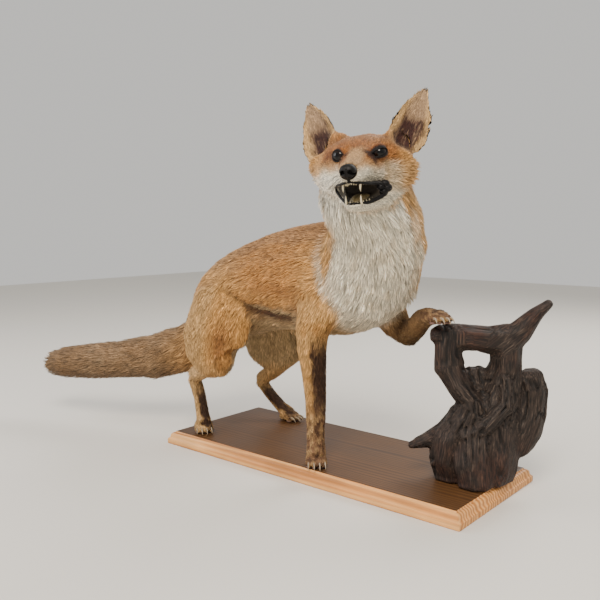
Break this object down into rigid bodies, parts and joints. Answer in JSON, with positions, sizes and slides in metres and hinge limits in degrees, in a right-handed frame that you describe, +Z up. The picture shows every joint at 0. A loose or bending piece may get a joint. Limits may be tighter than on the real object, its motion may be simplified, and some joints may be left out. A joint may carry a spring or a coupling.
{
  "type": "mounted taxidermy red fox",
  "caption": "Life-size mounted red fox with its mouth open, stepping along a moulded wooden board with one forepaw raised onto a driftwood root.",
  "frame": {"origin": "middle of the base board's underside", "axes": "+X along the board from the tail to the driftwood root, +Y towards the fox's left side, +Z up"},
  "size_m": [1.0611, 0.3784, 0.6459],
  "materials": {
    "rust_fur": "rust-orange fox fur",
    "buff_fur": "golden buff fur",
    "cream_fur": "cream bib fur over grey underfur",
    "grey_fur": "buff-grey brush with dark guard hairs",
    "stocking_fur": "short black-brown leg fur",
    "nose_leather": "black pebbled nose",
    "eye_glass": "glossy dark glass eye",
    "tongue": "aged tan tongue and palate",
    "pine": "varnished orange pine",
    "driftwood": "grey-brown weathered root"
  },
  "bodies": {
    "root": {"chest": "rust_fur", "abdomen": "rust_fur", "rump": "rust_fur", "neck": "cream_fur", "head": "rust_fur", "lower_jaw": "cream_fur", "tongue": "tongue", "nose": "nose_leather", "eye_left": "eye_glass", "eye_right": "eye_glass", "ear_left": "rust_fur", "ear_right": "rust_fur", "fore_right_upper_arm": "rust_fur", "fore_right_forearm": "buff_fur", "fore_right_paw": "stocking_fur", "fore_left_upper_arm": "rust_fur", "fore_left_forearm": "buff_fur", "fore_left_paw": "stocking_fur", "hind_right_thigh": "rust_fur", "hind_right_shank": "buff_fur", "hind_right_paw": "stocking_fur", "hind_left_thigh": "rust_fur", "hind_left_shank": "buff_fur", "hind_left_paw": "stocking_fur", "tail_root": "grey_fur", "tail_middle": "grey_fur", "tail_tip": "grey_fur", "base_board": "pine", "driftwood_root": "driftwood"}
  },
  "joints": []
}
